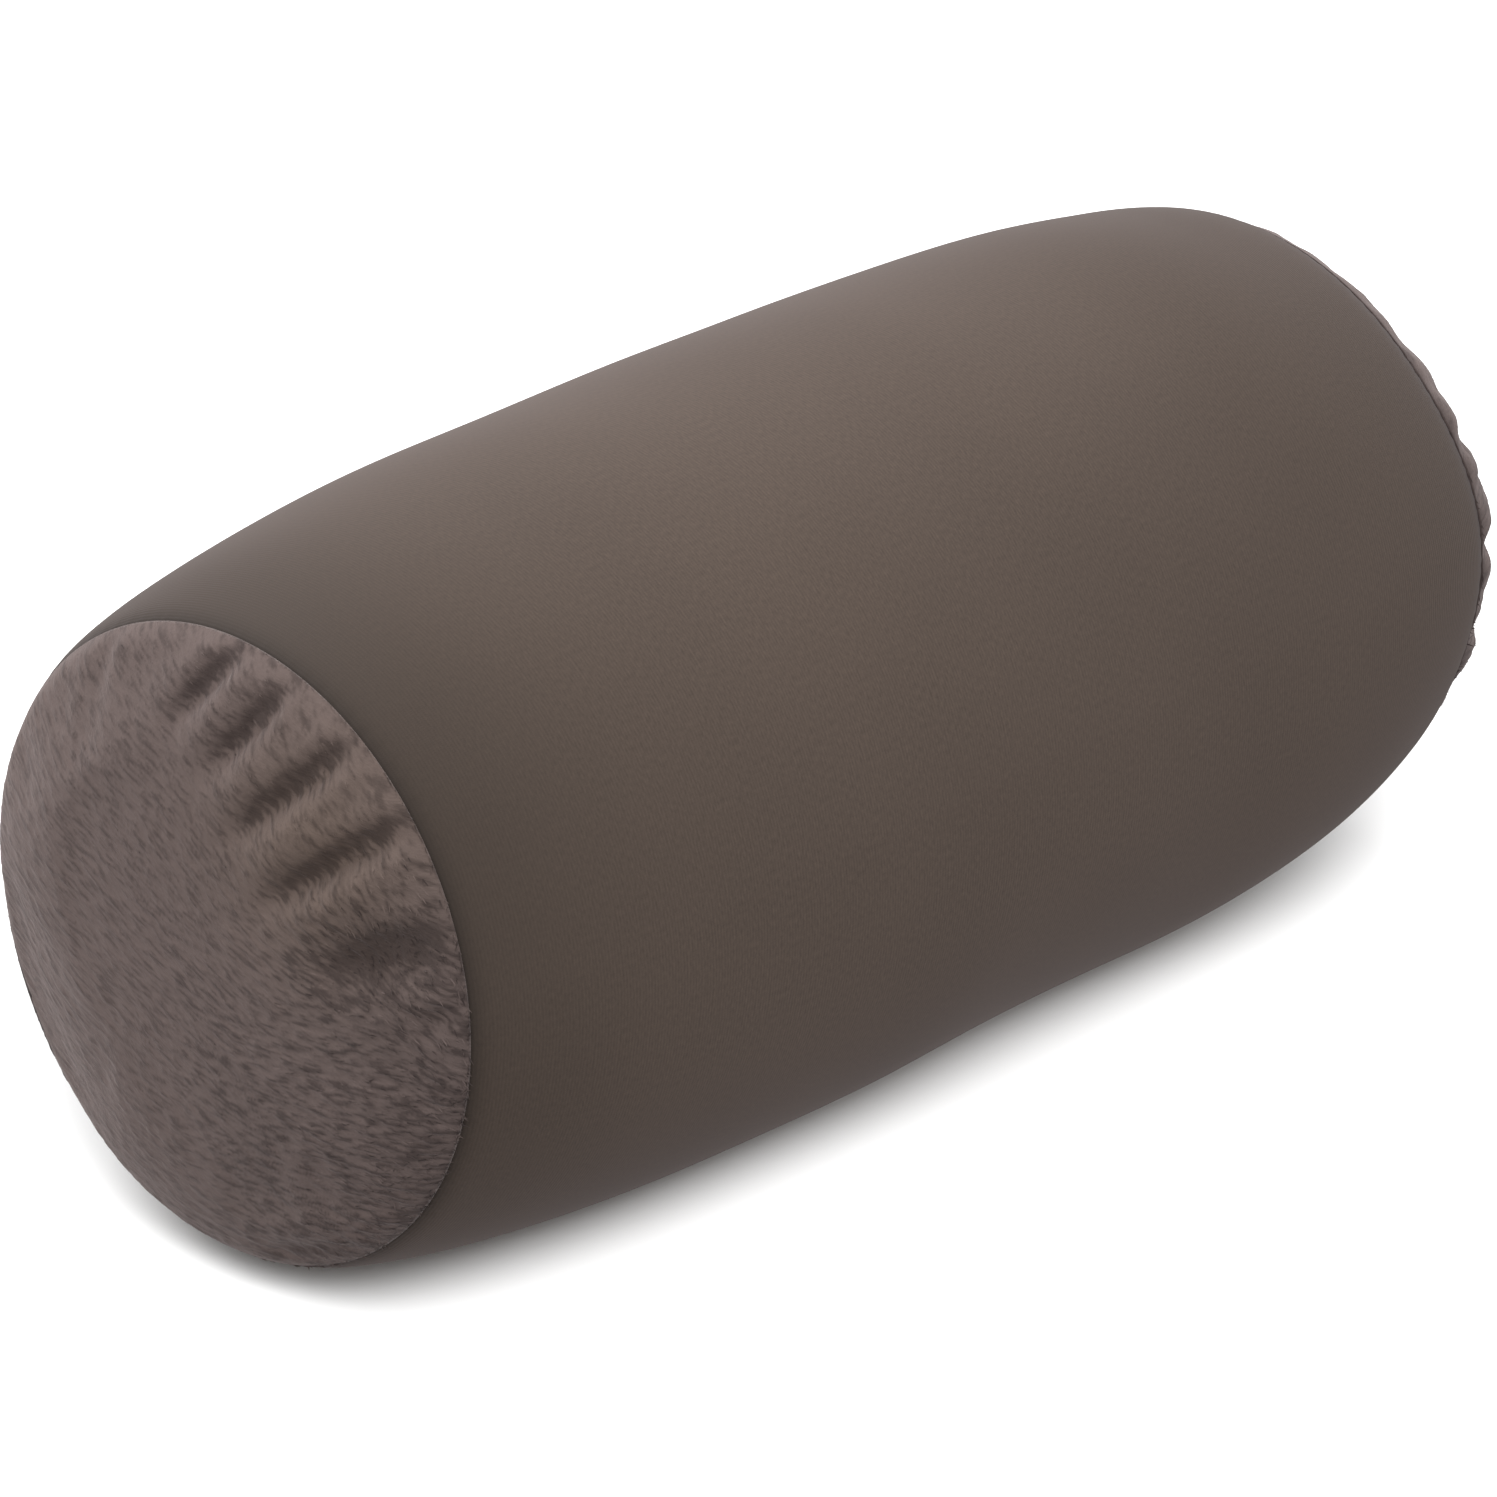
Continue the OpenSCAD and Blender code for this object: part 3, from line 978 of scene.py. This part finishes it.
def dress_panel(piece, side, sizes, plush, gathers):
    """Combs tufts into the plush, adds the seam allowance and the back, and stores the nap."""
    dome = plush.left_dome if side < 0 else plush.right_dome
    first_back = close_back(piece, side, sizes, dome)
    mesh = piece.data
    points, normals = point_array(mesh), normal_array(mesh)
    outside = np.arange(len(points)) < first_back
    front, up = -points[:, 1] / MM, (points[:, 2] - AXIS_Z) / MM
    radius = seam_radius(side, sizes) / MM
    to_rim = radius - np.hypot(front, up)
    ruffle = tousled(front, up) * (1.0 if side < 0 else 0.35)
    clump = sample(combed_noise(*CLUMP_NOISE), front, up)
    strand = sample(combed_noise(*STRAND_NOISE), front, up)
    lift = 0.30 * clump * (0.35 + ruffle) + 0.16 * strand * (0.5 + 0.7 * ruffle)
    lift *= smooth_step(0.2, 4.0, to_rim) * outside
    points = settled(points + normals * (lift * MM)[:, None], sizes)
    inner = radius * MM - np.hypot(points[:, 1], points[:, 2] - AXIS_Z) > 1.2 * MM
    for where, margin in ((inner & outside, FRONT_MARGIN),
                          (inner & ~outside, BACK_MARGIN)):
        points = np.where(where[:, None], clear_of_liner(points, side, margin), points)
    move_points(mesh, points)
    # tuft is 1 on the tips, and less in the combed patches and where ruffled; it also carries
    # painted shade in the gaps between tufts, in the folds, in the shaded patches and beside
    # the right seam
    gaps = smooth_step(0.15, -0.7, strand) * (0.5 + 0.9 * ruffle)
    patch = smooth_step(-0.05, -0.8, clump) * (0.25 + 0.7 * ruffle)
    patch_shade, warm = np.zeros_like(front), np.zeros_like(front)
    if side < 0:
        # painted shade in patches of the left panel's pile
        for a, b, reach, amount in SHADED_PATCHES:
            patch_shade += amount * spot(front, up, a, b, reach ** 2)
        # painted light: a warmer tint over the gathered area, for the lit ridges between the
        # gathers
        warm = spot(front, up, 36, 36, 26 ** 2)
    way = nap_direction(front, up)
    stray = 1.5 * strand + 0.8 * clump
    # painted shade: the pile is darkened down in the gathers' folds
    fold_shade = smooth_step(0.4, 3.2, gather_depth(front + 0.9 + stray * way[:, 0],
                                              up - 0.9 + stray * way[:, 1], gathers))
    tuft = clamp01(0.97 + 0.24 * strand - 0.80 * gaps - 0.32 * patch - 0.08 * ruffle
                   - 0.92 * fold_shade * (1 - 0.3 * strand) - patch_shade * (1 - 0.75 * strand))
    if side > 0:
        # painted shade: a dark line beside the right seam stands in for the shadow down in the
        # seam
        tuft *= smooth_step(0.5, 1.8, to_rim)
    flat = np.stack([np.zeros(len(way)), -way[:, 0], way[:, 1]], axis=1)
    normals = normal_array(mesh)
    nap = flat - normals * np.sum(flat * normals, axis=1, keepdims=True)
    nap /= np.linalg.norm(nap, axis=1, keepdims=True)
    bare = (-0.6, 0.4) if side < 0 else (0.3, 1.3)
    store(mesh, "tuft", tuft)
    store(mesh, "warm", warm)
    store(mesh, "nap", nap, "FLOAT_VECTOR")
    store(mesh, "ruffle", ruffle)
    store(mesh, "cover", (0.35 + 0.65 * tuft) * outside * smooth_step(*bare, to_rim))
    # the UV map, in metres, runs along and across the mean nap
    place = np.stack([front, up], axis=1) * MM
    along, across = np.array([0.90, -0.43]), np.array([0.43, 0.90])
    store_uv(mesh, "brushed", np.stack([place @ along, place @ across],
                                       axis=1)[corner_vertices(mesh)])


# ---------------------------------------------------------------- geometry nodes


def node_group(name, inputs):
    tree = bpy.data.node_groups.new(name, "GeometryNodeTree")
    for way in ("INPUT", "OUTPUT"):
        tree.interface.new_socket(name="Geometry", in_out=way,
                                  socket_type="NodeSocketGeometry")
    for label, kind, value in inputs:
        socket = tree.interface.new_socket(name=label, in_out="INPUT", socket_type=kind)
        if value is not None:
            socket.default_value = value
    return tree, tree.nodes.new("NodeGroupInput").outputs


def set_input(modifier, label, value):
    """Sets a named input of the modifier through its socket's identifier."""
    for item in modifier.node_group.interface.items_tree:
        if item.item_type == "SOCKET" and item.in_out == "INPUT" and item.name == label:
            modifier[item.identifier] = value
            return
    raise KeyError(label)


def vector_math(tree, operation, a, b=None, scale=None):
    node = tree.nodes.new("ShaderNodeVectorMath")
    node.operation = operation
    for name, value in ((0, a), (1, b), ("Scale", scale)):
        if value is not None:
            feed(tree, node.inputs[name], value)
    return node.outputs["Vector"]


def named(tree, name, kind="FLOAT"):
    node = tree.nodes.new("GeometryNodeInputNamedAttribute")
    node.data_type = kind
    node.inputs["Name"].default_value = name
    return node.outputs["Attribute"]


def random_value(tree, low, high, seed):
    node = tree.nodes.new("FunctionNodeRandomValue")
    vector = isinstance(low, tuple)
    node.data_type = "FLOAT_VECTOR" if vector else "FLOAT"
    kind = "VECTOR" if vector else "VALUE"
    for label, value in (("Min", low), ("Max", high)):
        socket = next(s for s in node.inputs if s.name == label and s.type == kind)
        socket.default_value = value
    feed(tree, next(s for s in node.inputs if s.name == "Seed"), seed)
    return next(s for s in node.outputs if s.name == "Value" and s.type == kind)


def stored(tree, geometry, name, value, domain):
    """The geometry with a number kept on it under a name."""
    node = tree.nodes.new("GeometryNodeStoreNamedAttribute")
    node.data_type, node.domain = "FLOAT", domain
    return fill_in(tree, node, Geometry=geometry, Name=name, Value=value).outputs[0]


def finish_tree(tree, geometry, material):
    """Ends a tree: its instances made real and smooth, in their material."""
    for kind, more in (("GeometryNodeRealizeInstances", {}),
                       ("GeometryNodeSetShadeSmooth", {}),
                       ("GeometryNodeSetMaterial", {"Material": material})):
        geometry = add_node(tree, kind, Geometry=geometry, **more).outputs["Geometry"]
    add_node(tree, "NodeGroupOutput", Geometry=geometry)
    return tree


def pile_tree():
    """Tufts scattered over a surface, each lying along its nap."""
    tree, inputs = node_group("Plush Pile", [
        ("Density", "NodeSocketFloat", 1e6),
        ("Length", "NodeSocketFloat", 2.6 * MM),
        ("Width", "NodeSocketFloat", 0.4 * MM),
        ("Lean", "NodeSocketFloat", 0.14),
        ("Seed", "NodeSocketInt", 1),
        ("Material", "NodeSocketMaterial", None),
    ])
    seed, long = inputs["Seed"], inputs["Length"]
    scatter = tree.nodes.new("GeometryNodeDistributePointsOnFaces")
    scatter.distribute_method = "RANDOM"
    fill_in(tree, scatter, Mesh=inputs["Geometry"], Seed=seed, Density=math_node(
        tree, "MULTIPLY", inputs["Density"], named(tree, "cover")))
    normal = scatter.outputs["Normal"]

    # one tuft: a narrow blade that tapers to a point and arches a little
    blade = add_node(tree, "GeometryNodeMeshGrid", Size_X=inputs["Width"], Size_Y=long,
                     Vertices_X=2, Vertices_Y=3)
    x, y, _ = split(tree, tree.nodes.new("GeometryNodeInputPosition").outputs[0])
    rise = math_node(tree, "ADD", math_node(tree, "DIVIDE", y, long), 0.5)
    taper = math_node(tree, "SUBTRACT", 1.0, math_node(tree, "POWER", rise, 1.6),
                      clamp=True)
    bend = math_node(tree, "SINE", math_node(tree, "MULTIPLY", rise, math.pi * 0.8))
    arch = math_node(tree, "MULTIPLY", bend, math_node(tree, "MULTIPLY", long, 0.09))
    shaped = add_node(tree, "ShaderNodeCombineXYZ", X=math_node(tree, "MULTIPLY", x, taper),
                      Y=math_node(tree, "MULTIPLY", rise, long), Z=arch)
    marked = stored(tree, blade.outputs["Mesh"], "rise", rise, "POINT")
    shape = add_node(tree, "GeometryNodeSetPosition", Geometry=marked,
                     Position=shaped.outputs[0])
    tip = add_node(tree, "GeometryNodeMergeByDistance", Geometry=shape.outputs["Geometry"],
                   Distance=1e-6)

    # each lies along the nap, strays from it where the pile is ruffled, and stands up
    ruffle = named(tree, "ruffle")
    stray = vector_math(tree, "SCALE", random_value(tree, (-1.0,) * 3, (1.0,) * 3, seed),
                        scale=times_plus(tree, ruffle, 0.62, 0.13))
    stand = vector_math(tree, "SCALE", normal,
                        scale=times_plus(tree, ruffle, 0.18, inputs["Lean"]))
    way = vector_math(tree, "ADD", vector_math(
        tree, "ADD", named(tree, "nap", "FLOAT_VECTOR"), stray), stand)
    turn = tree.nodes.new("FunctionNodeAxesToRotation")
    turn.primary_axis, turn.secondary_axis = "Y", "Z"
    fill_in(tree, turn, Primary_Axis=way, Secondary_Axis=normal)
    size = random_value(tree, 0.65, 1.2, math_node(tree, "ADD", seed, 7.0))
    tone = random_value(tree, 0.0, 1.0, math_node(tree, "ADD", seed, 3.0))
    tufts = add_node(tree, "GeometryNodeInstanceOnPoints", Points=scatter.outputs["Points"],
                     Instance=tip.outputs["Geometry"], Rotation=turn.outputs["Rotation"],
                     Scale=size)
    toned = stored(tree, tufts.outputs["Instances"], "tone", tone, "INSTANCE")
    return finish_tree(tree, toned, inputs["Material"])


def stitch_tree():
    """Stitches laid end to end along a ring."""
    tree, inputs = node_group("Seam Stitches", [
        ("Ring Radius", "NodeSocketFloat", 0.07),
        ("Place", "NodeSocketVector", None),
        ("Pitch", "NodeSocketFloat", 4 * MM),
        ("Length", "NodeSocketFloat", 2.8 * MM),
        ("Thickness", "NodeSocketFloat", 0.5 * MM),
        ("Material", "NodeSocketMaterial", None),
    ])
    ring = tree.nodes.new("GeometryNodeCurvePrimitiveCircle")
    ring.mode = "RADIUS"
    fill_in(tree, ring, Resolution=180, Radius=inputs["Ring Radius"])
    placed = add_node(tree, "GeometryNodeTransform", Geometry=ring.outputs["Curve"],
                      Translation=inputs["Place"], Rotation=(0.0, math.pi / 2, 0.0))
    dots = tree.nodes.new("GeometryNodeCurveToPoints")
    dots.mode = "LENGTH"
    fill_in(tree, dots, Curve=placed.outputs["Geometry"], Length=inputs["Pitch"])
    ball = add_node(tree, "GeometryNodeMeshUVSphere", Segments=8, Rings=6, Radius=0.5)
    size = add_node(tree, "ShaderNodeCombineXYZ", X=inputs["Thickness"],
                    Y=inputs["Thickness"], Z=inputs["Length"])
    stitches = add_node(tree, "GeometryNodeInstanceOnPoints", Points=dots.outputs["Points"],
                        Instance=ball.outputs["Mesh"], Rotation=dots.outputs["Rotation"],
                        Scale=size.outputs[0])
    return finish_tree(tree, stitches.outputs["Instances"], inputs["Material"])


def grown(name, source, tree, values):
    """A plain mesh piece of what a node tree makes on a copy of the source mesh."""
    mesh = source.copy() if source else bpy.data.meshes.new(name + "_seed")
    helper = bpy.data.objects.new(name, mesh)
    bpy.context.collection.objects.link(helper)
    modifier = helper.modifiers.new("Nodes", "NODES")
    modifier.node_group = tree
    for label, value in values.items():
        set_input(modifier, label, value)
    made = evaluated_copy(helper, name)
    helper.modifiers.remove(modifier)
    helper.data = made
    bpy.data.meshes.remove(mesh)
    if not made.vertices:
        raise RuntimeError(f"{name}: its node tree made nothing")
    return helper


# ---------------------------------------------------------------- operators


def direction(elevation, azimuth):
    """The unit vector that points up by the elevation, along the azimuth."""
    return Vector((math.cos(elevation) * math.cos(azimuth),
                   math.cos(elevation) * math.sin(azimuth), math.sin(elevation)))


class BOLSTER_OT_stage(bpy.types.Operator):
    """Sets up the white floor, the soft light and the camera"""

    bl_idname = "bolster.stage"
    bl_label = "Stage"

    def execute(self, context):
        scene = context.scene
        floor = mesh_object("floor", [(-9, -9, 0), (9, -9, 0), (9, 9, 0), (-9, 9, 0)],
                            [(0, 1, 2, 3)])
        material, tree, shader = new_material("white_floor")
        faint = noise(tree, object_coordinates(tree), 3.0)
        fill_in(tree, shader, Roughness=1.0, Specular_IOR_Level=0.0,
                Base_Color=mix_colours(tree, faint, (0.84, 0.84, 0.84), (0.85, 0.85, 0.85)))
        floor.data.materials.append(material)
        # no light comes off the floor on to the roll
        floor.visible_diffuse = False
        floor.visible_glossy = False
        self.put_up_tent(scene)
        for name, settings in LAMPS.items():
            self.hang_lamp(context, name, floor, *settings)
        self.place_camera(context)
        scene.view_settings.view_transform = "Standard"
        scene.view_settings.look = "None"
        return {"FINISHED"}

    def put_up_tent(self, scene):
        """A white tent, brighter overhead than below, with a white band at the horizon."""
        scene.world = bpy.data.worlds.new("studio")
        scene.world.use_nodes = True
        tent = scene.world.node_tree
        rise = split(tent, tent.nodes.new("ShaderNodeTexCoord").outputs["Generated"])[2]
        band = math_node(tent, "LESS_THAN", math_node(tent, "ABSOLUTE", rise), TENT_BAND)
        glow = math_node(tent, "MAXIMUM", times_plus(tent, rise, TENT_RISE, TENT_LIGHT), band)
        fill_in(tent, tent.nodes["Background"], Color=(1.0, 1.0, 1.0, 1.0), Strength=glow)

    def hang_lamp(self, context, name, floor, strength, spread, elevation, azimuth, alone):
        light = bpy.data.lights.new(name, "SUN")
        light.energy = strength
        light.angle = math.radians(spread)
        lamp = bpy.data.objects.new(name, light)
        towards = direction(math.radians(elevation), math.radians(azimuth))
        lamp.rotation_euler = towards.to_track_quat("Z", "Y").to_euler()
        context.collection.objects.link(lamp)
        if alone:
            lit = bpy.data.collections.new(name + "_lights")
            lit.objects.link(floor)
            lamp.light_linking.receiver_collection = lit

    def place_camera(self, context):
        lens = bpy.data.cameras.new("camera")
        camera = bpy.data.objects.new("camera", lens)
        context.collection.objects.link(camera)
        towards = direction(CAMERA_ELEVATION, CAMERA_AZIMUTH - math.pi / 2)
        camera.location = Vector((0, 0, AXIS_Z)) + towards * CAMERA_DISTANCE
        camera.rotation_euler = (-towards).to_track_quat("-Z", "Y").to_euler()
        lens.sensor_width = 36
        lens.lens = CAMERA_LENS
        lens.shift_x, lens.shift_y = CAMERA_SHIFT
        lens.clip_end = 60
        context.scene.camera = camera


class BOLSTER_OT_knit_body(bpy.types.Operator):
    """Makes the stretch-knit tube with its two end creases and its lengthwise seam"""

    bl_idname = "bolster.knit_body"
    bl_label = "Knit body"

    def execute(self, context):
        scene = context.scene
        piece = make_knit_body(scene.roll_sizes, knit_material(scene.fabric_colours))
        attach(piece, "root")
        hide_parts("cover_body_panel")
        return {"FINISHED"}


class BOLSTER_OT_end_panels(bpy.types.Operator):
    """Makes the two gathered plush end panels"""

    bl_idname = "bolster.end_panels"
    bl_label = "Plush end panels"

    def execute(self, context):
        scene = context.scene
        sizes, plush = scene.roll_sizes, scene.plush_sizes
        material = plush_material(scene.fabric_colours)
        for name, side in (("left", -1), ("right", 1)):
            gathers = LEFT_GATHERS if side < 0 else right_gathers(
                seam_radius(side, sizes) / MM)
            piece = make_end_panel(f"{name}_plush_end", side, sizes, plush, gathers,
                                   material)
            dress_panel(piece, side, sizes, plush, gathers)
            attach(piece, "root")
            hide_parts(f"{name}_end_panel")
        return {"FINISHED"}


class BOLSTER_OT_pile(bpy.types.Operator):
    """Grows the pile on both plush end panels"""

    bl_idname = "bolster.pile"
    bl_label = "Plush pile"

    def execute(self, context):
        scene = context.scene
        plush = scene.plush_sizes
        tree = pile_tree()
        material = pile_material(scene.fabric_colours)
        for number, name in enumerate(("left", "right")):
            base = bpy.data.objects[f"{name}_plush_end"]
            piece = grown(f"{name}_plush_pile", base.data, tree, {
                "Density": plush.pile_density, "Length": plush.pile_length,
                "Width": plush.pile_width, "Seed": plush.pile_seed + number,
                "Material": material})
            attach(piece, "root")
        return {"FINISHED"}


class BOLSTER_OT_seam_stitches(bpy.types.Operator):
    """Lays the stitches that show in the two end seams"""

    bl_idname = "bolster.seam_stitches"
    bl_label = "Seam stitches"

    def execute(self, context):
        scene = context.scene
        sizes, stitch = scene.roll_sizes, scene.stitch_sizes
        tree = stitch_tree()
        material = thread_material("cover_thread_twist", scene.fabric_colours.thread)
        # the stitches lie deep in the left seam, and just show in the right one
        for name, side, sunk, beyond in (("left", -1, 2.3, -0.4), ("right", 1, 1.6, -0.05)):
            radius = seam_radius(side, sizes) - sunk * MM
            count = round(2 * math.pi * radius / stitch.pitch)
            piece = grown(f"{name}_seam_stitches", None, tree, {
                "Ring Radius": radius,
                "Place": (side * (sizes.half_span + beyond * MM), 0.0, AXIS_Z),
                "Pitch": 2 * math.pi * radius / count,
                "Length": stitch.length, "Thickness": stitch.thickness,
                "Material": material})
            move_points(piece.data, settled(point_array(piece.data), sizes))
            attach(piece, "root")
            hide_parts(f"{name}_end_seam_thread")
        return {"FINISHED"}


class BOLSTER_OT_inner_parts(bpy.types.Operator):
    """Gives the liner, its threads, the filling and the hidden seams their materials"""

    bl_idname = "bolster.inner_parts"
    bl_label = "Liner and filling"

    def execute(self, context):
        colours = context.scene.fabric_colours
        liner = liner_material(colours)
        liner_thread = thread_material("liner_thread_twist", colours.liner_thread)
        cover_thread = thread_material("cover_thread_plain", colours.thread)
        beads = bead_material(colours)
        finish = {
            "cover_lengthwise_seam_thread": cover_thread,
            "cover_closing_stitch": cover_thread,
            "liner_body_panel": liner,
            "left_liner_end": liner,
            "right_liner_end": liner,
            "left_liner_seam_thread": liner_thread,
            "right_liner_seam_thread": liner_thread,
            "liner_lengthwise_seam_thread": liner_thread,
            "liner_closing_stitch": liner_thread,
            "bead_fill": beads,
        }
        for node, material in finish.items():
            for place in frame["nodes"][node].material_slots:
                place.material = material
        return {"FINISHED"}


class BOLSTER_PT_sidebar(bpy.types.Panel):
    """Lists the bolster's pieces"""

    bl_idname = "BOLSTER_PT_sidebar"
    bl_label = "Bolster Pillow"
    bl_space_type = "VIEW_3D"
    bl_region_type = "UI"
    bl_category = "Bolster"

    def draw(self, context):
        for step in STEPS:
            self.layout.operator(step.bl_idname, text=step.bl_label)
        scene = context.scene
        for group in (scene.roll_sizes, scene.plush_sizes, scene.stitch_sizes,
                      scene.fabric_colours):
            box = self.layout.box()
            for name in group.__annotations__:
                box.prop(group, name)


GROUPS = {
    "roll_sizes": RollSizes,
    "plush_sizes": PlushSizes,
    "stitch_sizes": StitchSizes,
    "fabric_colours": FabricColours,
}
STEPS = (
    BOLSTER_OT_stage,
    BOLSTER_OT_knit_body,
    BOLSTER_OT_end_panels,
    BOLSTER_OT_pile,
    BOLSTER_OT_seam_stitches,
    BOLSTER_OT_inner_parts,
)


def register():
    for group in GROUPS.values():
        bpy.utils.register_class(group)
    for name, group in GROUPS.items():
        setattr(bpy.types.Scene, name, bpy.props.PointerProperty(type=group))
    for item in STEPS + (BOLSTER_PT_sidebar,):
        bpy.utils.register_class(item)


def unregister():
    for item in reversed(STEPS + (BOLSTER_PT_sidebar,)):
        bpy.utils.unregister_class(item)
    for name in GROUPS:
        delattr(bpy.types.Scene, name)
    for group in reversed(list(GROUPS.values())):
        bpy.utils.unregister_class(group)


def main():
    register()
    for step in STEPS:
        area, name = step.bl_idname.split(".")
        if getattr(getattr(bpy.ops, area), name)() != {"FINISHED"}:
            raise RuntimeError(f"{step.bl_label} did not finish")


if __name__ == "__main__":
    main()
